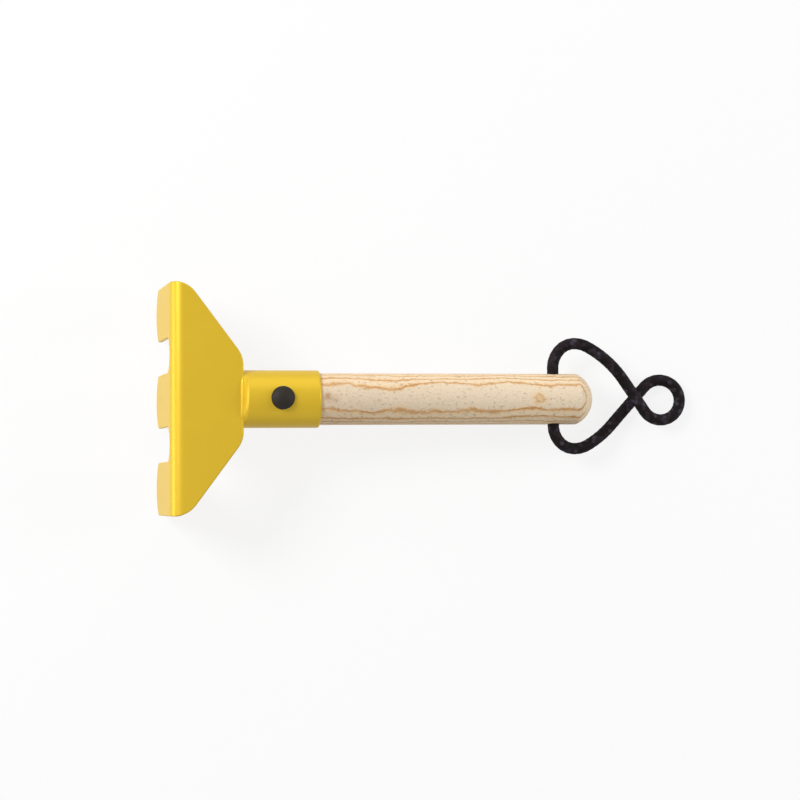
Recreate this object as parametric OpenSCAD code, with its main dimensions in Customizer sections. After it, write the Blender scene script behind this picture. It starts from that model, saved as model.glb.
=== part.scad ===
// A child's sand rake: a bent sheet blade with broad tines, welded to a closed
// tube socket, on a turned wooden handle with a loop of cord to hang it by.
// It is drawn on the handle's own line and then tipped to stand the way it
// lies on the ground, on its tine tips and the lower edge of the butt.
// Millimetres, +X towards the butt, +Z up, z = 0 on the ground.

/* [Blade] */
// Thickness of the pressed sheet
sheet_t = 2; // [1.2:0.1:3]
// Width of the blade across its outer tines
blade_w = 98.5; // [80:0.5:130]
// Length of the flat, from its rear edge to the start of the bend
flat_l = 24.8; // [20:0.1:40]
// Width between the rear corners, before they are rounded
rear_w = 35.5; // [30:0.5:60]
// Length of the slanting sides, measured along the handle
shoulder_l = 23.3; // [16:0.1:36]
// Radius of the rounded corners, seen from above
corner_r = 11.5; // [4:0.5:14]
// Outside radius of the bend between the flat and the tines
bend_r = 6; // [3.5:0.5:10]
// Height of the flat's upper face over the middle line of the handle
flat_rise = 8; // [4:0.5:10]

/* [Tines] */
// Number of tines
tine_count = 3; // [2:1:4]
// Width of one tine
tine_w = 23; // [14:0.5:24]
// Length of a tine, from the end of the bend to its tip
tine_l = 39; // [28:0.5:55]
// Lean of the tines away from square to the flat, outwards
tine_lean = 6.3; // [0:0.1:20]
// Radius of the rounded tip
tip_r = 14; // [12.5:0.5:24]
// Radius that eases the corners beside the tip
tip_ease_r = 1; // [0.5:0.5:5]
// Radius in the corners between two tines
root_r = 7; // [1:0.5:7]
// Distance from the end of the bend to the slots between the tines
root_drop = 0.2; // [0.2:0.1:3]

/* [Socket] */
// Outside diameter of the tube
socket_d = 24.5; // [22:0.5:32]
// Wall of the tube and of its closed nose
socket_wall = 1.2; // [0.8:0.1:2]
// Length of the tube along its upper side
socket_l = 30.7; // [26:0.1:50]
// Angle between the closed nose and the middle line
nose_angle = 58; // [45:1:75]
// How far the nose reaches into the rear edge of the flat
nose_bite = 0.8; // [0.4:0.1:2]
// Radius on the outer edge of the mouth
lip_r = 1; // [0.3:0.1:1.1]

/* [Welds] */
// Leg of the small bead on top of the flat
bead_leg = 1.3; // [0.8:0.1:2.4]
// Length of the bead on top
bead_l = 18; // [8:0.5:18]
// Leg of the stronger bead under the flat
under_leg = 3; // [1.5:0.1:4]
// Length of the bead under the flat
under_l = 18; // [8:0.5:20]

/* [Handle] */
// Length of the handle outside the socket, up to the edge of its domed end
handle_l = 113; // [90:0.5:200]
// Height of the domed end
dome_h = 6.8; // [4:0.1:9]
// Room between the end of the handle and the nose, along the upper side
nose_room = 1.7; // [1:0.1:4]
// Chamfer on the end of the handle that sits in the socket
entry_chamfer = 1; // [0.5:0.1:2]
// Gap between the handle and the socket, all round
handle_gap = 0.05; // [0.02:0.01:0.2]
// Distance of the cord's hole from the edge of the domed end
hole_back = 10.7; // [8:0.1:20]

/* [Rivet] */
// Distance of the rivet from the mouth of the socket
rivet_back = 16.4; // [8:0.1:20]
// Diameter of each head
head_d = 9.9; // [8:0.1:12]
// Height of each head over the crest of the tube
head_h = 3; // [1.5:0.1:3.5]
// Height of the straight rim under the dome of a head
head_rim = 0.9; // [0.2:0.1:1]
// Outside diameter of the hollow post
post_d = 5; // [4:0.1:6]
// Diameter of the pin that is pressed into the post
pin_d = 3; // [2:0.1:3.4]
// Gap round the post, round the pin and under the heads
rivet_gap = 0.05; // [0.02:0.01:0.1]
// Distance that the post and the pin stop short of the opposite head
post_short = 1.5; // [0.8:0.1:3]

/* [Hanging cord] */
// Diameter of the cord
cord_d = 4.9; // [3:0.1:5.2]
// Gap between the cord and its hole, all round
cord_gap = 0.3; // [0.2:0.05:0.6]
// Length of the fused joint between the two ends, inside the hole
joint_l = 4; // [2:0.5:10]
// Radius of the small loop that the cord ends in, at its middle line
loop_r = 8.8; // [8:0.1:11]

/* [Hidden] */
$fn = 64;

// How far a cut runs past what it cuts
overrun = 1;
// Short straight runs that make up the round of a corner seen from above
arc_steps = 16;

// Paint, wood and cord colours for a quick look
paint_colour = [0.86, 0.68, 0.13];
wood_colour = [0.87, 0.77, 0.63];
black_colour = [0.16, 0.15, 0.14];
cord_colour = [0.1, 0.1, 0.13];

// Radii and places along the handle's line, with u = 0 at the mouth of the socket
socket_r = socket_d / 2;
bore_r = socket_r - socket_wall;
handle_r = bore_r - handle_gap;
handle_in = socket_l - nose_room;
hole_u = handle_l - hole_back;
hole_r = cord_d / 2 + cord_gap;
nose_l = socket_l + socket_d / tan(nose_angle);
dome_r = (pow(handle_r, 2) + pow(dome_h, 2)) / (2 * dome_h);
dome_u = handle_l + dome_h - dome_r;

// Where the nose cuts a given height over the handle's line
function nose_u(height) = -socket_l - (socket_r - height) / tan(nose_angle);

// The flat, and the middle of its bend
rear_u = nose_u(flat_rise) + nose_bite;
bend_u = rear_u - flat_l;
bend_h = flat_rise - bend_r;
shoulder_u = rear_u - shoulder_l;
side_angle = atan2((blade_w - rear_w) / 2, shoulder_l);
front_run = corner_r * tan(side_angle / 2);
rear_run = corner_r * tan((90 - side_angle) / 2);

// The tines: out is square to their outer face, down runs towards the tips
tine_pitch = (blade_w - tine_w) / (tine_count - 1);
tine_out = [-cos(tine_lean), sin(tine_lean)];
tine_down = [-sin(tine_lean), -cos(tine_lean)];
tip_outer = [bend_u, bend_h] + bend_r * tine_out + tine_l * tine_down;
tip_inner = tip_outer - sheet_t * tine_out;
tip_mid_s = tine_l - tip_r;
ease_v = tine_w / 2 - tip_ease_r;
ease_s = tip_mid_s + sqrt(pow(tip_r - tip_ease_r, 2) - pow(ease_v, 2));

// The tip of the tool that brings the tine tips and the butt's lower edge to the ground
tilt = atan2(-handle_r - tip_inner[1], handle_l - tip_inner[0]);
lift = handle_l * sin(tilt) + handle_r * cos(tilt);
front_x = tip_outer[0] * cos(tilt) + tip_outer[1] * sin(tilt);
butt_x = dome_u * cos(tilt) + dome_r;
shift_x = -(front_x + butt_x) / 2;
hole_x = hole_u * cos(tilt) + shift_x;
hole_z = lift - hole_u * sin(tilt);

// The cord's way over the ground, seen from above. It leaves each mouth of its hole square to the
// handle for a short run, and then bends, each bend with a radius and its degrees, far side and near side.
far_out = 2.5;
far_bends = [[11.5, 45], [8.8, 45], [12, 28], [45, 28]];
near_out = 0.5;
near_bends = [[10.5, 45], [8.8, 45], [12, 30], [45, 18]];
// Room under the cord where it lies on the ground, and between its strands where they cross
ground_gap = 0.05;
cross_gap = 0.2;
// Heights of its middle line on the ground and where it crosses over itself
ground_z = cord_d / 2 + ground_gap;
cross_z = ground_z + cord_d + cross_gap;
// Share of the loop's way in which it comes down to the ground
down_share = 0.55;
// Longest step along the cord, and the sides of its tube
cord_step = 3;
cord_sides = 10;

// Points of a straight run after its start
function straight(from, to) =
    let (steps = ceil(norm(to - from) / cord_step))
    [for (k = [1:steps]) from + (to - from) * k / steps];

// Points of a round after its start, about a middle and from a heading, left for 1 and right for -1
function round_turn(mid, radius, head, side, turn) =
    let (steps = ceil(radius * turn * PI / 180 / cord_step))
    [for (k = [1:steps])
        let (now = head + side * turn * k / steps)
        mid + side * radius * [sin(now), -cos(now)]];

// Points of a row of bends, one after the other
function bend_row(from, head, side, bends, i = 0) =
    i == len(bends) ? [] :
    let (mid = from + side * bends[i][0] * [-sin(head), cos(head)],
         row = round_turn(mid, bends[i][0], head, side, bends[i][1]))
    concat(row, bend_row(row[len(row) - 1], head + side * bends[i][1], side, bends, i + 1));

// Degrees that a row of bends turns by
function turned(bends, i = 0) = i == len(bends) ? 0 : bends[i][1] + turned(bends, i + 1);

// The strands from both mouths, where they cross, and the loop that touches both behind the crossing
far_head = 90 - turned(far_bends);
near_head = turned(near_bends) - 90;
far_way = concat([[0, handle_r], [0, handle_r + far_out]],
    bend_row([0, handle_r + far_out], 90, -1, far_bends));
near_way = concat([[0, -handle_r], [0, -handle_r - near_out]],
    bend_row([0, -handle_r - near_out], -90, 1, near_bends));
far_end = far_way[len(far_way) - 1];
near_end = near_way[len(near_way) - 1];
loop_open = (near_head - far_head) / 2;
loop_head = (near_head + far_head) / 2;
cross_run = (sin(near_head) * (far_end[0] - near_end[0]) - cos(near_head) * (far_end[1] - near_end[1]))
    / sin(far_head - near_head);
crossing = far_end + cross_run * [cos(far_head), sin(far_head)];
loop_mid = crossing + loop_r / sin(loop_open) * [cos(loop_head), sin(loop_head)];
loop_in = loop_mid + loop_r * [sin(far_head), -cos(far_head)];
loop_out = loop_mid - loop_r * [sin(near_head), -cos(near_head)];

// Length of a way up to one of its points, and a way that eases to another height in a share of it
function way_l(way, i) = i == 0 ? 0 : norm(way[i] - way[i - 1]) + way_l(way, i - 1);
function eased(way, from, to, in_share) =
    let (ease_l = in_share * way_l(way, len(way) - 1))
    [for (i = [0:len(way) - 1])
        let (ease_share = (1 - cos(180 * min(way_l(way, i) / ease_l, 1))) / 2)
        [hole_x + way[i][0], way[i][1], from + (to - from) * ease_share]];
function backwards(way) = [for (i = [len(way) - 1:-1:0]) way[i]];
function but_last(way) = [for (i = [0:len(way) - 2]) way[i]];

over_way = eased(concat(far_way, straight(far_end, crossing)), hole_z, cross_z, 1);
loop_way = eased(concat([crossing], straight(crossing, loop_in),
    round_turn(loop_mid, loop_r, far_head, 1, 180 + 2 * loop_open), straight(loop_out, crossing)),
    cross_z, ground_z, down_share);
under_way = eased(concat([crossing], straight(crossing, near_end), backwards(but_last(near_way))),
    ground_z, hole_z, 1);
cord_line = concat([[hole_x, joint_l / 2, hole_z]], but_last(over_way), but_last(loop_way), under_way,
    [[hole_x, -joint_l / 2, hole_z]]);

// Stands a piece that is drawn on the handle's line on the ground
module place() {
    translate([shift_x, 0, lift]) rotate([0, tilt, 0]) children();
}

// Turns an upright piece to lie along the handle, its top towards the butt
module along_handle() {
    rotate([0, 90, 0]) children();
}

// Runs an outline, drawn along the handle and upwards, across the tool
module across(width) {
    rotate([90, 0, 0]) linear_extrude(width, center = true) children();
}

// A dome of a given edge radius and height, standing on z = 0
module dome(edge_r, height) {
    ball_r = (pow(edge_r, 2) + pow(height, 2)) / (2 * height);
    intersection() {
        translate([0, 0, height - ball_r]) sphere(ball_r);
        cylinder(r = edge_r, h = height);
    }
}

// Side view of the sheet: flat, bend and tine, at one thickness
module sheet_profile() {
    reach = 2 * bend_r;
    translate([bend_u, flat_rise - sheet_t]) square([flat_l, sheet_t]);
    translate([bend_u, bend_h]) {
        intersection() {
            difference() {
                circle(bend_r);
                circle(bend_r - sheet_t);
            }
            translate([-reach, -reach]) square([reach, 2 * reach]);
            rotate(180 - tine_lean) translate([-reach, -reach]) square([2 * reach, reach]);
        }
        rotate(180 - tine_lean) translate([bend_r - sheet_t, 0]) square([sheet_t, tine_l]);
    }
}

// Points of an arc round a middle, from one direction to another
function arc(mid, radius, from, to) = [for (k = [0:arc_steps])
    let (turn = from + (to - from) * k / arc_steps)
    mid + radius * [cos(turn), sin(turn)]];

// The blade's outline from above, with its two corners on each side rounded
module plan_outline() {
    half = concat(
        [[tip_outer[0] - overrun, blade_w / 2]],
        arc([shoulder_u - front_run, blade_w / 2 - corner_r], corner_r, 90, 90 - side_angle),
        arc([rear_u - corner_r, rear_w / 2 - rear_run], corner_r, 90 - side_angle, 0));
    polygon(concat(half, [for (i = [len(half) - 1:-1:0]) [half[i][0], -half[i][1]]]));
}

// One tine, face on: a tongue with a round tip and eased corners
module tongue() {
    reach_share = (tip_r + overrun) / (ease_s - tip_mid_s);
    wing = [reach_share * ease_v, tip_mid_s + tip_r + overrun];
    translate([-tine_w / 2, 0]) square([tine_w, ease_s]);
    for (side = [-1, 1]) translate([side * ease_v, ease_s]) circle(tip_ease_r);
    intersection() {
        translate([0, tip_mid_s]) circle(tip_r);
        polygon([[0, tip_mid_s], wing, [-wing[0], wing[1]]]);
    }
}

// The round in a corner beside a tine, where it joins the bend
module root_corner() {
    difference() {
        square(root_r);
        translate([root_r, root_r]) circle(root_r);
    }
}

// What is cut away between the tines and beside their tips
module tine_waste() {
    outer_v = (blade_w - tine_w) / 2;
    difference() {
        union() {
            translate([-outer_v, root_drop]) square([2 * outer_v, tine_l + overrun]);
            translate([-blade_w / 2 - overrun, tip_mid_s])
                square([blade_w + 2 * overrun, tip_r + overrun]);
        }
        for (i = [0:tine_count - 1]) translate([i * tine_pitch - outer_v, 0]) {
            tongue();
            if (i > 0) translate([-tine_w / 2, root_drop]) mirror([1, 0]) root_corner();
            if (i < tine_count - 1) translate([tine_w / 2, root_drop]) root_corner();
        }
    }
}

// The tube's outer shape with its slanting nose, grown by a gap on every side
module socket_blank(grow) {
    span = 2 * nose_l;
    intersection() {
        along_handle() translate([0, 0, -span]) cylinder(r = socket_r + grow, h = 2 * span);
        behind_nose(grow);
    }
}

// All that lies behind the slanting nose, moved forwards by a gap
module behind_nose(grow) {
    span = 2 * nose_l;
    translate([-socket_l, 0, socket_r]) rotate([0, 90 - nose_angle, 0])
        translate([-grow, -span, -span]) cube([span, 2 * span, 2 * span]);
}

// The hole that the rivet's post goes through
module rivet_hole() {
    translate([-rivet_back, 0, -socket_r - overrun])
        cylinder(d = post_d + 2 * rivet_gap, h = socket_d + 2 * overrun);
}

// A rivet's domed head, hollowed to sit on the tube's upper side
module rivet_head() {
    rim_z = socket_r + head_rim;
    difference() {
        union() {
            cylinder(d = head_d, h = rim_z);
            translate([0, 0, rim_z]) dome(head_d / 2, head_h - head_rim);
        }
        rotate([0, 90, 0]) cylinder(r = socket_r + rivet_gap, h = 2 * head_d, center = true);
    }
}

// Blade: one pressed sheet, with the flat, the bend and all the tines
module blade() {
    color(paint_colour) place() difference() {
        intersection() {
            across(blade_w + 2 * overrun) sheet_profile();
            translate([0, 0, tip_inner[1] - overrun])
                linear_extrude(flat_rise - tip_inner[1] + 2 * overrun) plan_outline();
        }
        translate([bend_u, 0, bend_h]) rotate([0, 180 + tine_lean, 0]) rotate([90, 0, 90])
            translate([0, 0, bend_r - sheet_t - overrun])
                linear_extrude(sheet_t + 2 * overrun) tine_waste();
        socket_blank(rivet_gap);
    }
}

// Socket: a drawn tube with a rounded mouth and a slanting, closed nose
module socket() {
    color(paint_colour) place() difference() {
        intersection() {
            along_handle() rotate_extrude() difference() {
                translate([0, -nose_l]) square([socket_r, nose_l]);
                translate([socket_r - lip_r, -lip_r]) difference() {
                    square(lip_r + overrun);
                    circle(lip_r);
                }
            }
            behind_nose(0);
        }
        intersection() {
            along_handle() translate([0, 0, -nose_l]) cylinder(r = bore_r, h = nose_l + overrun);
            behind_nose(-socket_wall);
        }
        rivet_hole();
    }
}

// Upper weld: a small bead in the corner between the flat and the nose
module weld_top() {
    corner = [nose_u(flat_rise), flat_rise];
    color(paint_colour) place() across(bead_l) polygon([
        corner, corner + bead_leg * [cos(nose_angle), sin(nose_angle)], corner - [bead_leg, 0]
    ]);
}

// Lower weld: a stronger bead in the sharp corner under the flat
module weld_under() {
    corner = [nose_u(flat_rise - sheet_t), flat_rise - sheet_t];
    color(paint_colour) place() across(under_l) polygon([
        corner, corner - [under_leg, 0], corner - under_leg * [cos(nose_angle), sin(nose_angle)]
    ]);
}

// Handle: a turned stick with a domed butt, bored for the rivet and for the cord
module handle() {
    color(wood_colour) place() difference() {
        along_handle() {
            translate([0, 0, -handle_in])
                cylinder(r1 = handle_r - entry_chamfer, r2 = handle_r, h = entry_chamfer);
            translate([0, 0, entry_chamfer - handle_in])
                cylinder(r = handle_r, h = handle_in - entry_chamfer + handle_l);
            translate([0, 0, handle_l]) dome(handle_r, dome_h);
        }
        rivet_hole();
        translate([hole_u, 0, 0]) rotate([90, 0, 0])
            cylinder(r = hole_r, h = 2 * (handle_r + overrun), center = true);
    }
}

// Rivet post: the upper head with its hollow shank
module rivet_post() {
    foot = post_short - socket_r;
    color(black_colour) place() translate([-rivet_back, 0, 0]) difference() {
        union() {
            rivet_head();
            translate([0, 0, foot]) cylinder(d = post_d, h = socket_r + head_rim - foot);
        }
        translate([0, 0, foot - overrun])
            cylinder(d = pin_d + 2 * rivet_gap, h = socket_r - foot - post_short + overrun);
    }
}

// Rivet pin: the lower head with the solid pin that is pressed into the post
module rivet_pin() {
    pin_l = socket_d + head_rim - 2 * post_short;
    color(black_colour) place() translate([-rivet_back, 0, 0]) mirror([0, 0, 1]) {
        rivet_head();
        translate([0, 0, socket_r + head_rim - pin_l]) cylinder(d = pin_d, h = pin_l);
    }
}

// Directions along the cord, and the ring of corners round each of its points
function unit(v) = v / norm(v);
function heading(i) =
    unit(cord_line[min(i + 1, len(cord_line) - 1)] - cord_line[max(i - 1, 0)]);
function cord_ring(i) =
    let (side = unit(cross(heading(i), [0, 0, 1])), top = cross(side, heading(i)))
    [for (k = [0:cord_sides - 1])
        let (turn = 360 * k / cord_sides)
        cord_line[i] + cord_d / 2 * (cos(turn) * side + sin(turn) * top)];

// Hanging cord: one tube from one face of the fused joint round to the other
module hang_cord() {
    last = len(cord_line) - 1;
    n = cord_sides;
    points = [for (i = [0:last]) each cord_ring(i)];
    walls = [for (i = [0:last - 1], k = [0:n - 1])
        let (a = i * n + k, b = i * n + (k + 1) % n)
        each [[a, a + n, b], [b, a + n, b + n]]];
    start_cap = [for (k = [1:n - 2]) [0, k, k + 1]];
    end_cap = [for (k = [1:n - 2]) [last * n, last * n + k + 1, last * n + k]];
    color(cord_colour) polyhedron(points, concat(walls, start_cap, end_cap));
}

// Fused joint: the two ends of the cord, melted together out of sight in the hole
module cord_joint() {
    color(cord_colour) translate([hole_x, 0, hole_z]) rotate([90, 0, 0])
        cylinder(d = cord_d, h = joint_l, center = true);
}

blade();
socket();
weld_top();
weld_under();
handle();
rivet_post();
rivet_pin();
hang_cord();
cord_joint();
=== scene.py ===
import math
import random

import bmesh
import bpy
from mathutils import Matrix, Vector, geometry


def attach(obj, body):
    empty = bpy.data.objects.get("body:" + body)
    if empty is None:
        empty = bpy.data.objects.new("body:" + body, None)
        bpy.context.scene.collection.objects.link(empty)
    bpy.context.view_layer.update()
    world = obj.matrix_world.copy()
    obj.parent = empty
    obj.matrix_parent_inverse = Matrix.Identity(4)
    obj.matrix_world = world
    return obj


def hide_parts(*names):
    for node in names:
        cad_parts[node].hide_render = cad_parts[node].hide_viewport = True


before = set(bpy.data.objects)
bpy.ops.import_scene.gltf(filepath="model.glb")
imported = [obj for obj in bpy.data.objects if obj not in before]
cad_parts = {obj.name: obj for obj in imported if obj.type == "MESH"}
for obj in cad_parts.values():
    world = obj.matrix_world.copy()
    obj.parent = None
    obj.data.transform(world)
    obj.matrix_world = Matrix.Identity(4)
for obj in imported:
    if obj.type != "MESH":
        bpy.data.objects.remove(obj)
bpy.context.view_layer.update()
scene = bpy.context.scene
scene.view_settings.view_transform = "Standard"

# The rake as it lies: on its tine tips and the lower edge of its butt, so the handle slopes down a little.
# Every rigid piece is drawn in millimetres on the handle's own line, with x = 0 at the socket's mouth and
# z upwards, and this stands it on the ground, in metres.
millimetre = 0.001
slope = math.radians(8.07026)
mouth = Vector((-0.0233684, 0, 0.0267548))
standing = Matrix.Translation(mouth) @ Matrix.Rotation(slope, 4, "Y") @ Matrix.Scale(millimetre, 4)

# The camera looks almost straight down, a little from the tines and from the picture's lower side, with
# the handle level in the picture.
lens = bpy.data.cameras.new("camera")
lens.lens = 85
lens.sensor_width = 36
camera = bpy.data.objects.new("camera", lens)
scene.collection.objects.link(camera)
scene.camera = camera
towards_camera = Vector((-0.01631, -0.0475, 0.99874)).normalized()
picture_right = Vector((math.cos(slope), 0, -math.sin(slope)))
picture_right = (picture_right - picture_right.dot(towards_camera) * towards_camera).normalized()
picture_up = towards_camera.cross(picture_right)
looked_at = Vector((0.01128, -0.00036, 0.02184))
camera_far = 0.81
camera.matrix_world = (Matrix.Translation(looked_at + camera_far * towards_camera)
                       @ Matrix((picture_right, picture_up, towards_camera)).transposed().to_4x4())


# The table: a wide sheet of white card, which keeps a soft shadow under the tool, in an even room light.
# One broad lamp stands high at the upper left of the picture. Weaker ones low at the left, behind the
# tool, past the butt and in front of it open up its sides.
class Wire:
    """A socket of a material. Sums of wires and numbers become Math nodes of that material."""

    def __init__(self, socket):
        self.socket = socket

    def node(self, kind, settings, inputs, output=0):
        """Adds a node: its settings come first, then the values or links of its sockets."""
        made = self.socket.id_data.nodes.new(kind)
        for name, value in settings.items():
            if name == "stops":
                while len(made.color_ramp.elements) < len(value):
                    made.color_ramp.elements.new(1)
                for stop, (place, colour) in zip(made.color_ramp.elements, value):
                    stop.position = place
                    stop.color = colour
            else:
                setattr(made, name, value)
        for name, value in inputs.items():
            if isinstance(value, Wire):
                self.socket.id_data.links.new(made.inputs[name], value.socket)
            else:
                made.inputs[name].default_value = value
        return Wire(made.outputs[output])

    def maths(self, operation, first, second=0.0):
        """Adds a Math node."""
        return self.node("ShaderNodeMath", {"operation": operation}, {0: first, 1: second})

    def into(self, shader, name):
        """Links the wire to a named socket of a shader."""
        self.socket.id_data.links.new(shader.inputs[name], self.socket)

    def __add__(self, other):
        return self.maths("ADD", self, other)

    def __sub__(self, other):
        return self.maths("SUBTRACT", self, other)

    def __rsub__(self, other):
        return self.maths("SUBTRACT", other, self)

    def __mul__(self, other):
        return self.maths("MULTIPLY", self, other)

    __radd__ = __add__
    __rmul__ = __mul__


def tint(red, green, blue):
    """A colour as it looks on a screen, 0 to 255, in the light that Blender counts in."""
    parts = [c / 255 for c in (red, green, blue)]
    return tuple(c / 12.92 if c <= 0.04045 else ((c + 0.055) / 1.055) ** 2.4 for c in parts) + (1.0,)


def new_material(name):
    """A material, its shader, and the wire of its object coordinates."""
    material = bpy.data.materials.new(name)
    material.use_nodes = True
    shader = material.node_tree.nodes["Principled BSDF"]
    place = material.node_tree.nodes.new("ShaderNodeTexCoord")
    return material, shader, Wire(place.outputs["Object"])


card, card_shader, card_place = new_material("white_card")
card_shader.inputs["Base Color"].default_value = (0.9, 0.9, 0.9, 1)
card_shader.inputs["Roughness"].default_value = 0.9
card_shader.inputs["Specular IOR Level"].default_value = 0.1


def plainly_seen(wire):
    """One for a ray that comes from the camera, off a glossy surface or through glass."""
    kinds = [wire.node("ShaderNodeLightPath", {}, {}, kind)
             for kind in ("Is Camera Ray", "Is Glossy Ray", "Is Transmission Ray")]
    return wire.maths("MAXIMUM", wire.maths("MAXIMUM", kinds[0], kinds[1]), kinds[2])


white_share = 0.84
card_white = card_place.node("ShaderNodeEmission", {}, {"Color": (1, 1, 1, 1), "Strength": 1.0})
card_mix = card_place.node("ShaderNodeMixShader", {}, {
    0: plainly_seen(card_place) * white_share, 1: Wire(card_shader.outputs["BSDF"]), 2: card_white})
card_mix.into(card.node_tree.nodes["Material Output"], "Surface")

table_half = 6.0
sheet = bmesh.new()
bmesh.ops.create_grid(sheet, x_segments=1, y_segments=1, size=table_half)
table_mesh = bpy.data.meshes.new("table")
sheet.to_mesh(table_mesh)
sheet.free()
table_mesh.materials.append(card)
table = bpy.data.objects.new("table", table_mesh)
scene.collection.objects.link(table)

room_level = 0.26
room = bpy.data.worlds.new("room")
room.use_nodes = True
scene.world = room
room_light = room.node_tree.nodes["Background"]
room_light.inputs["Color"].default_value = (1, 1, 1, 1)
room_seen = plainly_seen(Wire(room_light.inputs["Strength"]))
(room_seen * (1 - room_level) + room_level).into(room_light, "Strength")
lamps_aim = Vector((0, 0, 0.02))


def lamp(name, place, wide, tall, watts):
    """A soft lamp that shines at the middle of the tool."""
    light = bpy.data.lights.new(name, "AREA")
    light.shape = "RECTANGLE"
    light.size = wide
    light.size_y = tall
    light.energy = watts
    stand = bpy.data.objects.new(name, light)
    stand.location = place
    stand.rotation_euler = (lamps_aim - Vector(place)).to_track_quat("-Z", "Y").to_euler()
    scene.collection.objects.link(stand)


lamp("window_lamp", (-0.68, 0.38, 0.73), 0.4, 0.4, 7.6)
lamp("tine_lamp", (-1.0, -0.02, 0.14), 0.42, 0.28, 2.4)
lamp("wall_lamp", (0.0, 0.95, 0.40), 0.9, 0.9, 2.7)
lamp("butt_lamp", (0.95, 0.15, 0.40), 0.5, 0.5, 4.1)
lamp("front_lamp", (0.1, -0.9, 0.45), 0.8, 0.8, 0.6)


# The blade: one pressed steel sheet with three tines, painted yellow. It is cut flat with rounded corners,
# its cut edges are dulled, and it is bent down over a round bar along one line.
def noise(place, scale, detail, roughness=0.5):
    """Soft noise over a place, from 0 to 1."""
    return place.node("ShaderNodeTexNoise", {}, {
        "Vector": place, "Scale": scale, "Detail": detail, "Roughness": roughness})


def blend(share, first, second):
    """A mix of two colours, with a wire for the share of the second."""
    return share.node("ShaderNodeMix", {"data_type": "RGBA"}, {0: share, 6: first, 7: second}, 2)


def bump(height, strength, deep, shader):
    """Makes a shader's surface uneven by a wire, so many metres deep."""
    uneven = height.node("ShaderNodeBump", {}, {"Strength": strength, "Distance": deep, "Height": height})
    uneven.into(shader, "Normal")


paint, paint_shader, paint_place = new_material("yellow_powder_coat")
peel = noise(paint_place, 1400.0, 2.0)
cloud = noise(paint_place, 55.0, 4.0, 0.6)
blend(cloud, tint(211, 175, 42), tint(218, 182, 50)).into(paint_shader, "Base Color")
(0.33 + cloud * 0.08).into(paint_shader, "Roughness")
bump(peel, 0.12, 0.00012, paint_shader)
paint_shader.inputs["Specular IOR Level"].default_value = 0.16
paint_shader.inputs["Metallic"].default_value = 0.26

round_step = 7.5
sharp_turn = math.radians(40)
merge_gap = 0.001
cut_gap = 0.0001


def trace(drawing, start, moves):
    """Draws an outline in the xy plane: (x, y) is a straight run, (x, y, degrees) a round about a place."""
    pencil = drawing.verts.new((start[0], start[1], 0))
    for move in moves:
        if len(move) == 2:
            pencil = bmesh.ops.extrude_vert_indiv(drawing, verts=[pencil])["verts"][0]
            pencil.co = (move[0], move[1], 0)
        else:
            turned = bmesh.ops.spin(
                drawing, geom=[pencil], cent=(move[0], move[1], 0), axis=(0, 0, 1),
                angle=math.radians(move[2]), steps=max(3, round(abs(move[2]) / round_step)))
            pencil = [p for p in turned["geom_last"] if isinstance(p, bmesh.types.BMVert)][0]
    return pencil


def score(drawing, x):
    """Cuts every face of a drawing at one x, so that it can bend there."""
    bmesh.ops.bisect_plane(drawing, geom=drawing.verts[:] + drawing.edges[:] + drawing.faces[:],
                           dist=cut_gap, plane_co=(x, 0, 0), plane_no=(1, 0, 0))


def as_piece(drawing, name, material):
    """Stands a drawn piece on the ground and makes it an object, smooth but for its sharp edges."""
    drawing.transform(standing)
    mesh = bpy.data.meshes.new(name)
    drawing.to_mesh(mesh)
    drawing.free()
    mesh.shade_smooth()
    mesh.set_sharp_from_angle(angle=sharp_turn)
    mesh.materials.append(material)
    piece = bpy.data.objects.new(name, mesh)
    scene.collection.objects.link(piece)
    return piece


sheet_thick = 2.0
flat_top = 8.0
blade_rear = -32.556
half_rear = 17.75
half_wide = 49.25
corner = 11.5
side_run = 23.3
shoulder = blade_rear - side_run
side_turn = math.degrees(math.atan2(half_wide - half_rear, blade_rear - shoulder))
rear_run = corner * math.tan(math.radians(90 - side_turn) / 2)
front_run = corner * math.tan(math.radians(side_turn) / 2)
flat_run = 24.8
bend_start = blade_rear - flat_run
bend_round = 6.0
bend_turn = math.radians(83.7)
bend_end = bend_start - bend_round * bend_turn
slot_clear = 0.2
slot_end = bend_end - slot_clear
slot_round = 7.0
tine_half = 11.5
outer_tine = half_wide - tine_half
tine_run = 25.0
tip_middle = bend_end - tine_run
tip_round = 14.0
ease_round = 1.0
ease_place = tip_middle - math.sqrt((tip_round - ease_round) ** 2 - (tine_half - ease_round) ** 2)
ease_turn = math.degrees(math.atan2(tip_middle - ease_place, tine_half - ease_round))
side_middle = (shoulder - front_run, half_wide - corner)
blank = bmesh.new()
trace(blank, (blade_rear, 0), [
    (blade_rear, half_rear - rear_run),
    (blade_rear - corner, half_rear - rear_run, 90 - side_turn),
    (side_middle[0] + corner * math.sin(math.radians(side_turn)),
     side_middle[1] + corner * math.cos(math.radians(side_turn))),
    side_middle + (side_turn,),
    (ease_place, half_wide),
    (ease_place, half_wide - ease_round, ease_turn),
    (tip_middle, outer_tine, 180 - 2 * ease_turn),
    (ease_place, outer_tine - tine_half + ease_round, ease_turn),
    (slot_end - slot_round, outer_tine - tine_half),
    (slot_end - slot_round, outer_tine - tine_half - slot_round, -90),
    (slot_end, tine_half + slot_round),
    (slot_end - slot_round, tine_half + slot_round, -90),
    (ease_place, tine_half),
    (ease_place, tine_half - ease_round, ease_turn),
    (tip_middle, 0, 90 - ease_turn)])
bmesh.ops.mirror(blank, geom=blank.verts[:] + blank.edges[:], matrix=Matrix(), merge_dist=merge_gap,
                 axis="Y")
bmesh.ops.remove_doubles(blank, verts=blank.verts[:], dist=merge_gap)
bmesh.ops.contextual_create(blank, geom=blank.edges[:])
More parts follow.
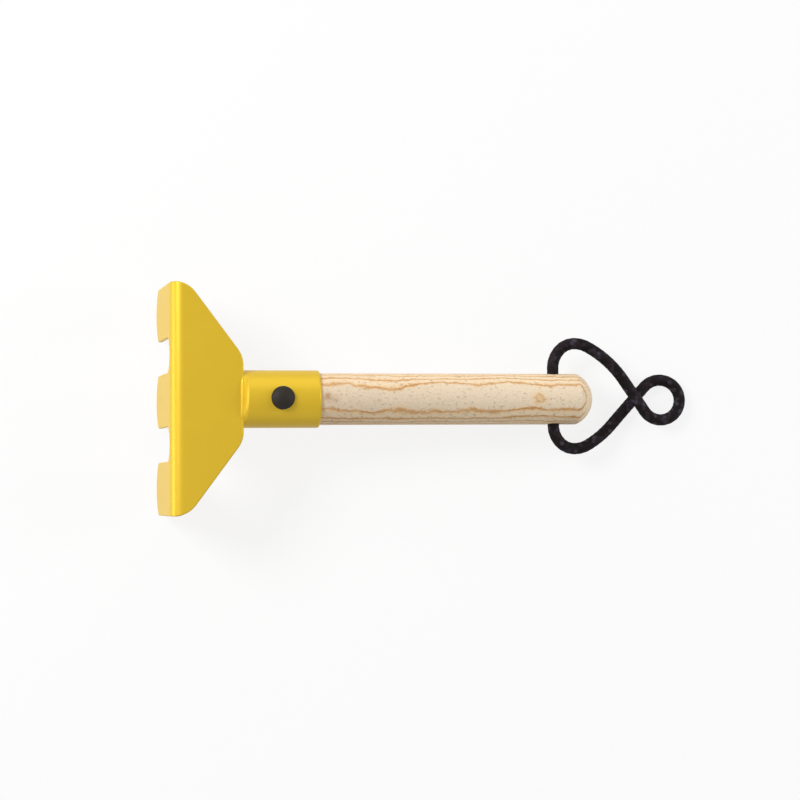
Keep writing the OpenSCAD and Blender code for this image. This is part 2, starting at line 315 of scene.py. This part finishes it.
raised = bmesh.ops.extrude_face_region(blank, geom=blank.faces[:], use_keep_orig=True)
bmesh.ops.translate(blank, vec=(0, 0, sheet_thick),
                    verts=[v for v in raised["geom"] if isinstance(v, bmesh.types.BMVert)])
bmesh.ops.recalc_face_normals(blank, faces=blank.faces[:])
edge_ease = 0.55
cut_edges = [e for e in blank.edges
             if e.calc_face_angle(0) > 1 and abs(e.verts[0].co.z - e.verts[1].co.z) < 0.01]
bmesh.ops.bevel(blank, geom=cut_edges, offset=edge_ease, offset_type="OFFSET", segments=3, profile=0.5,
                affect="EDGES", material=-1)
bend_lines = 18
for line in range(bend_lines + 1):
    score(blank, bend_start + (bend_end - bend_start) * line / bend_lines)
for v in blank.verts:
    past = bend_start - v.co.x
    over = bend_round - sheet_thick + v.co.z
    if past <= 0:
        v.co.z += flat_top - sheet_thick
    else:
        turned = min(past / bend_round, bend_turn)
        down = max(past - bend_round * bend_turn, 0)
        v.co.x = bend_start - over * math.sin(turned) - down * math.cos(turned)
        v.co.z = flat_top - bend_round + over * math.cos(turned) - down * math.sin(turned)
blade = as_piece(blank, "pressed_blade", paint)
blade.modifiers.new("flats_stay_flat", "WEIGHTED_NORMAL").keep_sharp = True
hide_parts("blade")
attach(blade, "rake")


# The socket: a drawn steel tube, painted with the blade. Its mouth is rolled over to a round lip. At the
# front its top is pressed down to the blade along a straight crest, and below the blade it is cut on a
# slant, closed with a plate and ground round.
def lathe(drawing, steps, axis=(1, 0, 0)):
    """Spins an outline all the way round a line through zero."""
    bmesh.ops.spin(drawing, geom=drawing.verts[:] + drawing.edges[:], cent=(0, 0, 0), axis=axis,
                   angle=2 * math.pi, steps=steps, use_merge=True)
    bmesh.ops.remove_doubles(drawing, verts=drawing.verts[:], dist=merge_gap)


tube_round = 12.25
tube_bore = 11.05
bore_end = -29.2
lip_round = 1.0
plain_end = -20.0
uncut_end = -60.0
crest = -30.5
crest_run = 3.0
crest_steps = 10
crest_fall = 1.3
crest_foot = flat_top - 0.4
nose_start = -31.56
nose_lean = math.radians(59.5)
nose_ease = 1.7
tube = bmesh.new()
trace(tube, (bore_end, 0), [
    (bore_end, tube_bore), (0, tube_bore), (0, tube_round - lip_round),
    (-lip_round, tube_round - lip_round, 90), (plain_end, tube_round), (uncut_end, tube_round)])
lathe(tube, 96)
for step in range(crest_steps + 1):
    score(tube, crest - crest_run * step / crest_steps)
for v in tube.verts:
    pressed = min(max((crest - v.co.x) / crest_run, 0), 1)
    v.co.z -= max(v.co.z - crest_foot, 0) * pressed ** crest_fall
nose = bmesh.ops.bisect_plane(
    tube, geom=tube.verts[:] + tube.edges[:] + tube.faces[:], dist=cut_gap, clear_outer=True,
    plane_co=(nose_start, 0, tube_round), plane_no=(-math.sin(nose_lean), 0, math.cos(nose_lean)))
nose_edge = [e for e in nose["geom_cut"] if isinstance(e, bmesh.types.BMEdge)]
bmesh.ops.contextual_create(tube, geom=nose_edge)
bmesh.ops.recalc_face_normals(tube, faces=tube.faces[:])
ground_edge = [e for e in nose_edge if max(v.co.z for v in e.verts) < flat_top - 1.5 * sheet_thick]
bmesh.ops.bevel(tube, geom=ground_edge, offset=nose_ease, offset_type="OFFSET", segments=9, profile=0.5,
                affect="EDGES", material=-1)
socket = as_piece(tube, "tube_socket", paint)
socket.modifiers.new("flats_stay_flat", "WEIGHTED_NORMAL").keep_sharp = True
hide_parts("socket")
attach(socket, "rake")


# The welds: a low, smooth bead on the flat at the foot of the nose, and a stronger one in the sharp corner
# underneath, laid in short steps that leave low ripples. Both are painted over.
def bead(moves, start):
    """A round weld bead along y, spun from the outline of its upper half."""
    drawing = bmesh.new()
    trace(drawing, (start, 0), moves)
    lathe(drawing, 24)
    bmesh.ops.recalc_face_normals(drawing, faces=drawing.faces[:])
    bmesh.ops.rotate(drawing, verts=drawing.verts[:], matrix=Matrix.Rotation(math.pi / 2, 3, "Z"))
    return drawing


def nose_place(height):
    """How far forward the nose is at a height over the handle's line."""
    return nose_start - (tube_round - height) / math.tan(nose_lean)


upper_half = 9.6
upper_thick = 1.3
upper_back = 1.4
upper_sunk = 0.6
upper_taper = [(0.97, 0.35), (0.9, 0.65), (0.78, 0.88), (0.6, 1.0)]
upper = bead([(-upper_half * reach, upper_thick * thick) for reach, thick in upper_taper]
             + [(upper_half * reach, upper_thick * thick) for reach, thick in reversed(upper_taper)]
             + [(upper_half, 0)], -upper_half)
bmesh.ops.translate(upper, verts=upper.verts[:],
                    vec=(nose_place(flat_top) + upper_back, 0, flat_top - upper_sunk))
upper_bead = as_piece(upper, "upper_bead", paint)
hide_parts("weld_top")
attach(upper_bead, "rake")

lower_half = 9.0
lower_thick = 1.5
lower_ahead = 1.9
lower_sunk = 0.7
flat_under = flat_top - sheet_thick
ripples = 10
ripple_swell = 1.05
ripple = (2 * lower_half - 2 * lower_thick) / ripples
lower_moves = [(lower_thick - lower_half, 0, -90)]
for k in range(ripples):
    laid = lower_thick - lower_half + k * ripple
    lower_moves += [(laid + ripple / 2, lower_thick * ripple_swell), (laid + ripple, lower_thick)]
lower = bead(lower_moves + [(lower_half - lower_thick, 0, -90)], -lower_half)
bmesh.ops.translate(lower, verts=lower.verts[:],
                    vec=(nose_place(flat_under) - lower_ahead, 0, flat_under - lower_sunk))
lower_bead = as_piece(lower, "lower_bead", paint)
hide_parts("weld_under")
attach(lower_bead, "rake")

# The handle: a turned softwood stick with a domed butt, sanded and left bare. The flat-sawn rings run
# along it as wavy brown lines, and it is bored across near the butt for the cord.
wood, wood_shader, wood_place = new_material("bare_softwood")
along = wood_place.node("ShaderNodeMapping", {"vector_type": "TEXTURE"}, {
    "Vector": wood_place, "Location": mouth, "Rotation": (0, slope, 0), "Scale": (millimetre,) * 3})
far = along.node("ShaderNodeSeparateXYZ", {}, {"Vector": along}, "X")
across = along.node("ShaderNodeSeparateXYZ", {}, {"Vector": along}, "Y")
height = along.node("ShaderNodeSeparateXYZ", {}, {"Vector": along}, "Z")


def grain(stretch, detail, roughness=0.5):
    """Noise in the handle's own millimetres, drawn out along or across it."""
    spread = along.node("ShaderNodeVectorMath", {"operation": "MULTIPLY"}, {0: along, 1: stretch})
    return noise(spread, 1.0, detail, roughness)


def ranged(value, low, high, least=0.0, most=1.0):
    """A wire's span from low to high, drawn over least to most and held at both."""
    return value.node("ShaderNodeMapRange", {}, {
        "Value": value, "From Min": low, "From Max": high, "To Min": least, "To Max": most})


def greys(value, stops):
    """A wire's way through levels of grey, each at its own place."""
    colours = [(place, (level, level, level, 1)) for place, level in stops]
    return value.node("ShaderNodeValToRGB", {"stops": colours}, {"Fac": value})


def spot(x, y, wide):
    """One at a place on the upper side, falling off to nothing."""
    off = (far - x) * (far - x) + (across - y) * (across - y)
    return along.maths("EXPONENT", off * (-1 / wide ** 2))


sway = grain((0.042, 0.09, 0.09), 1.5) - 0.5
shiver = grain((0.3, 0.34, 0.34), 2.0) - 0.5
fray = grain((1.3, 1.6, 1.6), 2.0) - 0.5
upper_side = along.maths("GREATER_THAN", height, 0.0)
eye_far = 93.7
eye_across = -0.2
eye_round = 1.6
eye_off = (far - eye_far) * (far - eye_far) + (across - eye_across) * (across - eye_across)
eye_ring = along.maths("SQRT", eye_off) + shiver * 3.0 + fray * 1.6 - eye_round
eye_line = along.maths("EXPONENT", eye_ring * eye_ring * -2.4)
eye = (eye_line * 0.5 + spot(93.9, 0.1, 0.8) * 0.25) * upper_side
halo = spot(eye_far, eye_across, 2.9) * upper_side
year_start = 9.55
year_width = 2.1
ring = (height + sway * 3.6 + shiver * 1.3 + fray * 0.45 - year_start) * (1 / year_width)
year = along.maths("FRACT", along.maths("MINIMUM", ring, 0.4))
late = greys(year, [
    (0.0, 1), (0.06, 0.75), (0.15, 0.1), (0.3, 0), (0.72, 0.05), (0.84, 0.35), (0.94, 0.95)])
glow = greys(year, [(0.0, 1), (0.3, 0), (0.45, 0), (0.9, 1)])
strength = ranged(grain((0.09, 0.12, 0.12), 2.0), 0.3, 0.65, 0.6, 1.0)
sanded = ranged(far, 114.4, 115.4)
lines = late * strength * (1 - sanded * 0.8) + eye
fibre = grain((0.16, 3.4, 3.4), 3.0)
fleck = ranged(grain((0.6, 0.95, 0.95), 1.0), 0.59, 0.73)
mottle = ranged(grain((1.1, 1.5, 1.5), 3.0, 0.7), 0.42, 0.72)
blotch = grain((0.1, 0.2, 0.2), 2.0)
heart = ranged(ring, -0.25, 0.1)
cream = blend(fibre, tint(233, 208, 174), tint(247, 228, 199))
grey = blend(fibre, tint(221, 200, 174), tint(238, 221, 197))
pale = blend(heart, cream, grey)
warm = blend(blotch * 0.4, pale, tint(226, 200, 162))
# The wood is paler towards the butt, from 15 mm to 95 mm along the handle.
paler_towards_butt = blend(ranged(far, 15.0, 95.0, 0.0, 0.42), warm, tint(252, 234, 204))
glowing = blend(glow * (0.46 - sanded * 0.3) + halo * 0.6, paler_towards_butt, tint(243, 202, 136))
lined = blend(lines, glowing, tint(197, 138, 70))
flecked = blend(fleck * 0.42 + mottle * 0.2, lined, tint(162, 127, 88))
smudge = spot(2.5, 0.6, 1.6) * 0.9 + spot(5.6, -0.6, 1.8) * 0.3
stain = (smudge * (0.65 + mottle * 0.5) + spot(24.2, -1.0, 0.9) * 0.25) * upper_side
blend(stain, flecked, tint(160, 107, 42)).into(wood_shader, "Base Color")
(0.52 + late * 0.08 + fibre * 0.1).into(wood_shader, "Roughness")
bump(fibre * 0.5 + late * 0.4 - fleck * 0.5, 0.2, 0.0002, wood_shader)
wood_shader.inputs["Specular IOR Level"].default_value = 0.35

stick_round = 11.0
stick_start = -29.0
start_ease = 1.0
side_end = 111.4
butt_ease = 3.4
butt_ease_turn = 28
butt_middle = 107.503
stick = bmesh.new()
butt = trace(stick, (stick_start, 0), [
    (stick_start, stick_round - start_ease), (stick_start + start_ease, stick_round),
    (side_end, stick_round), (side_end, stick_round - butt_ease, -butt_ease_turn)])
butt_turn = math.degrees(math.atan2(butt.co.y, butt.co.x - butt_middle))
trace(stick, butt.co.xy, [(butt_middle, 0, -butt_turn)])
bmesh.ops.remove_doubles(stick, verts=stick.verts[:], dist=merge_gap)
lathe(stick, 96)
bmesh.ops.recalc_face_normals(stick, faces=stick.faces[:])
handle = as_piece(stick, "turned_handle", wood)

cord_place = 102.3
hole_round = 2.75
flare_round = 3.7
flare_start = 10.5
flare_end = 11.3
drill_half = 14.0
drill = bmesh.new()
trace(drill, (-drill_half, 0), [
    (-drill_half, flare_round), (-flare_end, flare_round), (-flare_start, hole_round),
    (flare_start, hole_round), (flare_end, flare_round), (drill_half, flare_round), (drill_half, 0)])
lathe(drill, 40)
bmesh.ops.recalc_face_normals(drill, faces=drill.faces[:])
bmesh.ops.rotate(drill, verts=drill.verts[:], matrix=Matrix.Rotation(math.pi / 2, 3, "Z"))
bmesh.ops.translate(drill, verts=drill.verts[:], vec=(cord_place, 0, 0))
bit = as_piece(drill, "drill_bit", wood)
bore = handle.modifiers.new("cord_hole", "BOOLEAN")
bore.operation = "DIFFERENCE"
bore.object = bit
bored = bpy.data.meshes.new_from_object(handle.evaluated_get(bpy.context.evaluated_depsgraph_get()))
handle.modifiers.clear()
handle.data = bored
bpy.data.objects.remove(bit)
bored.shade_smooth()
bored.set_sharp_from_angle(angle=sharp_turn)
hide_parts("handle")
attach(handle, "rake")

# The rivet: two blackened steel halves, pressed into each other through the socket and the handle.
# Only their domed heads show, one on top and one below.
steel, steel_shader, steel_place = new_material("blackened_steel")
mill_scale = noise(steel_place, 900.0, 3.0, 0.6)
blend(mill_scale, tint(29, 25, 21), tint(43, 37, 32)).into(steel_shader, "Base Color")
(0.5 + mill_scale * 0.16).into(steel_shader, "Roughness")
bump(mill_scale, 0.12, 0.0001, steel_shader)
steel_shader.inputs["Specular IOR Level"].default_value = 0.2

rivet_place = -16.4
head_round = 4.95
head_seat = 11.2
head_rim = 13.15
head_top = 15.25
dome_edge = head_round - 0.35
dome_round = (head_round ** 2 + (head_top - head_rim) ** 2) / (2 * (head_top - head_rim))
dome_turn = math.degrees(math.asin(dome_edge / dome_round))
for side, name, node in ((1, "rivet_head_upper", "rivet_post"), (-1, "rivet_head_lower", "rivet_pin")):
    head = bmesh.new()
    rim = trace(head, (0, head_top), [(0, head_top - dome_round, -dome_turn)])
    trace(head, rim.co.xy, [
        (head_round - 0.06, head_rim - 0.05), (head_round, head_rim - 0.3), (head_round, head_seat),
        (0, head_seat)])
    bmesh.ops.remove_doubles(head, verts=head.verts[:], dist=merge_gap)
    lathe(head, 48, (0, 1, 0))
    bmesh.ops.rotate(head, verts=head.verts[:], matrix=Matrix.Rotation(side * math.pi / 2, 3, "X"))
    bmesh.ops.translate(head, verts=head.verts[:], vec=(rivet_place, 0, 0))
    bmesh.ops.recalc_face_normals(head, faces=head.faces[:])
    rivet = as_piece(head, name, steel)
    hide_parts(node)
    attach(rivet, "rake")

# The hanging cord: black braided polyester, threaded through the handle and fused end to end in its hole.
# It comes out on both sides, crosses over itself and lies in a small loop behind the butt.
hole = Vector((77.9184, 0, 12.3932))
cord_round = 2.52
ground_gap = 0.02
cross_gap = 0.2
ground_height = cord_round + ground_gap
cross_height = ground_height + 2 * cord_round + cross_gap
loop_round = 8.8
end_off = 2.0
far_lead = 2.5
near_lead = 0.5
settle_share = 0.55


def lay(start, heading, side, bends):
    """A way over the ground, in bends of a radius and so many degrees: side 1 is left and -1 right."""
    way = [Vector(start)]
    for radius, degrees in bends:
        middle = way[-1] + side * radius * Vector((-math.sin(heading), math.cos(heading)))
        spoke = way[-1] - middle
        turn = side * math.radians(degrees)
        steps = math.ceil(radius * abs(turn))
        way += [middle + Matrix.Rotation(turn * step / steps, 2) @ spoke for step in range(1, steps + 1)]
        heading += turn
    return way, heading


def straight(start, stop):
    """A straight run over the ground, about a millimetre at a time."""
    steps = math.ceil((stop - start).length)
    return [start.lerp(stop, step / steps) for step in range(1, steps + 1)]


def eased(way, start_height, stop_height, share=1.0):
    """Gives a way its height, which eases from one to another in a share of its length."""
    gone = [0.0]
    for start, stop in zip(way, way[1:]):
        gone.append(gone[-1] + (stop - start).length)
    heights = [start_height + (stop_height - start_height) * (1 - math.cos(math.pi * min(
        g / (share * gone[-1]), 1))) / 2 for g in gone]
    return [Vector((hole.x + point.x, point.y, z)) for point, z in zip(way, heights)]


far_mouth = Vector((0, stick_round))
far_way, far_heading = lay(far_mouth + Vector((0, far_lead)), math.pi / 2, -1,
                           [(11.5, 45), (loop_round, 45), (12, 28), (45, 28)])
near_way, near_heading = lay(-far_mouth - Vector((0, near_lead)), -math.pi / 2, 1,
                             [(10.5, 45), (loop_round, 45), (12, 30), (45, 18)])
far_line = Vector((math.cos(far_heading), math.sin(far_heading)))
near_line = Vector((math.cos(near_heading), math.sin(near_heading)))
sight = 50
crossing = geometry.intersect_line_line_2d(
    far_way[-1], far_way[-1] + sight * far_line, near_way[-1], near_way[-1] + sight * near_line)
loop_open = (near_heading - far_heading) / 2
loop_middle = crossing + loop_round / math.sin(loop_open) * (far_line + near_line).normalized()
loop_start = loop_middle + loop_round * Vector((far_line.y, -far_line.x))
loop_way = lay(loop_start, far_heading, 1, [(loop_round, 180 + 2 * math.degrees(loop_open))])[0]
over = eased([far_mouth] + far_way + straight(far_way[-1], crossing), hole.z, cross_height)
looped = eased(
    [crossing] + straight(crossing, loop_way[0]) + loop_way[1:] + straight(loop_way[-1], crossing),
    cross_height, ground_height, settle_share)
under = eased([crossing] + straight(crossing, near_way[-1]) + near_way[-2::-1] + [-far_mouth],
              ground_height, hole.z)
end_place = Vector((0, end_off, 0))
route = [hole + end_place] + over + looped[1:] + under[1:] + [hole - end_place]
travelled = [0.0]
for start, stop in zip(route, route[1:]):
    travelled.append(travelled[-1] + (stop - start).length)
cord_length = travelled[-1]
rings = 580
sides = 48
centres = []
leg = 0
for ring_number in range(rings + 1):
    want = cord_length * ring_number / rings
    while leg < len(route) - 2 and travelled[leg + 1] < want:
        leg += 1
    part_way = (want - travelled[leg]) / (travelled[leg + 1] - travelled[leg])
    centres.append(route[leg].lerp(route[leg + 1], part_way))

strands = 6
pick_length = 2.6
pick_rows = 400
relief = 0.1
side_fall = 3.2
end_fall = 1.6
rng = random.Random(7)
pick_tints = [[rng.random() for _ in range(strands)] for _ in range(pick_rows)]
braid = bmesh.new()
braid.loops.layers.uv.new("round_the_cord")
strand_tint = braid.verts.layers.float_color.new("strand_tint")
bmesh.ops.create_grid(braid, x_segments=rings, y_segments=sides, size=1, calc_uvs=True)
for v in braid.verts:
    ring_number = round((v.co.x + 1) / 2 * rings)
    turn = (v.co.y + 1) / 2
    heading = (centres[min(ring_number + 2, rings)] - centres[max(ring_number - 2, 0)]).normalized()
    sideways = heading.cross(Vector((0, 0, 1))).normalized()
    upwards = sideways.cross(heading)
    down_cord = cord_length * ring_number / rings / pick_length
    right_hand = strands * turn + down_cord
    left_hand = strands * turn - down_cord + pick_rows
    off_right = right_hand % 1 - 0.5
    off_left = left_hand % 1 - 0.5
    right_on_top = (math.floor(right_hand + 1e-6) + math.floor(left_hand + 1e-6)) % 2
    off_side, off_end = (off_right, off_left) if right_on_top else (off_left, off_right)
    swell = (1 - side_fall * off_side * off_side) * (1 - end_fall * off_end * off_end)
    thick = cord_round - relief * (1 - swell)
    around = 2 * math.pi * turn
    v.co = centres[ring_number] + thick * (math.cos(around) * sideways + math.sin(around) * upwards)
    chance = pick_tints[int(right_hand) % pick_rows][int(left_hand) % strands]
    # Each pick's random tint goes in red. Its swell goes in green and later paints shade into the grooves
    # between the picks.
    v[strand_tint] = (chance, swell, 0, 1)
bmesh.ops.remove_doubles(braid, verts=braid.verts[:], dist=0.0005)
bmesh.ops.holes_fill(braid, edges=[e for e in braid.edges if e.is_boundary], sides=0)
bmesh.ops.recalc_face_normals(braid, faces=braid.faces[:])
bmesh.ops.scale(braid, verts=braid.verts[:], vec=(millimetre,) * 3)
braid_mesh = bpy.data.meshes.new("braided_loop")
braid.to_mesh(braid_mesh)
braid.free()
braid_mesh.shade_smooth()

yarn, yarn_shader, yarn_place = new_material("black_braided_yarn")
picks = yarn_place.node("ShaderNodeAttribute", {"attribute_name": "strand_tint"}, {}, "Color")
pick_chance = picks.node("ShaderNodeSeparateColor", {}, {"Color": picks}, "Red")
swell_for_painted_shade = picks.node("ShaderNodeSeparateColor", {}, {"Color": picks}, "Green")
yarn_hue = picks.node("ShaderNodeValToRGB", {"stops": [
    (0.0, tint(15, 11, 12)), (0.3, tint(23, 18, 19)), (0.55, tint(33, 26, 29)), (0.75, tint(43, 33, 38)),
    (0.85, tint(47, 42, 51)), (1.0, tint(69, 63, 73))]}, {"Fac": pick_chance})
# Painted shade: the yarn is darker in the grooves between the picks and full colour on their crowns.
blend(swell_for_painted_shade * 0.6 + 0.4, tint(16, 13, 14), yarn_hue).into(yarn_shader, "Base Color")
fuzz = noise(yarn_place, 2600.0, 2.0)
(0.62 + fuzz * 0.2).into(yarn_shader, "Roughness")
bump(fuzz, 0.3, 0.0001, yarn_shader)
yarn_shader.inputs["Specular IOR Level"].default_value = 0.1
braid_mesh.materials.append(yarn)
loop = bpy.data.objects.new("braided_loop", braid_mesh)
scene.collection.objects.link(loop)
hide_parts("hang_cord")
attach(loop, "loop")

# The fused joint: the two ends of the cord, melted into one plug that stays out of sight in the hole.
melt, melt_shader, melt_place = new_material("melted_cord")
lumps = noise(melt_place, 1100.0, 2.0)
blend(lumps, tint(18, 16, 17), tint(36, 32, 36)).into(melt_shader, "Base Color")
(0.3 + lumps * 0.2).into(melt_shader, "Roughness")
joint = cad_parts["cord_joint"]
joint.data.materials.clear()
joint.data.materials.append(melt)
[tuple(c / 1000) for c in centres]
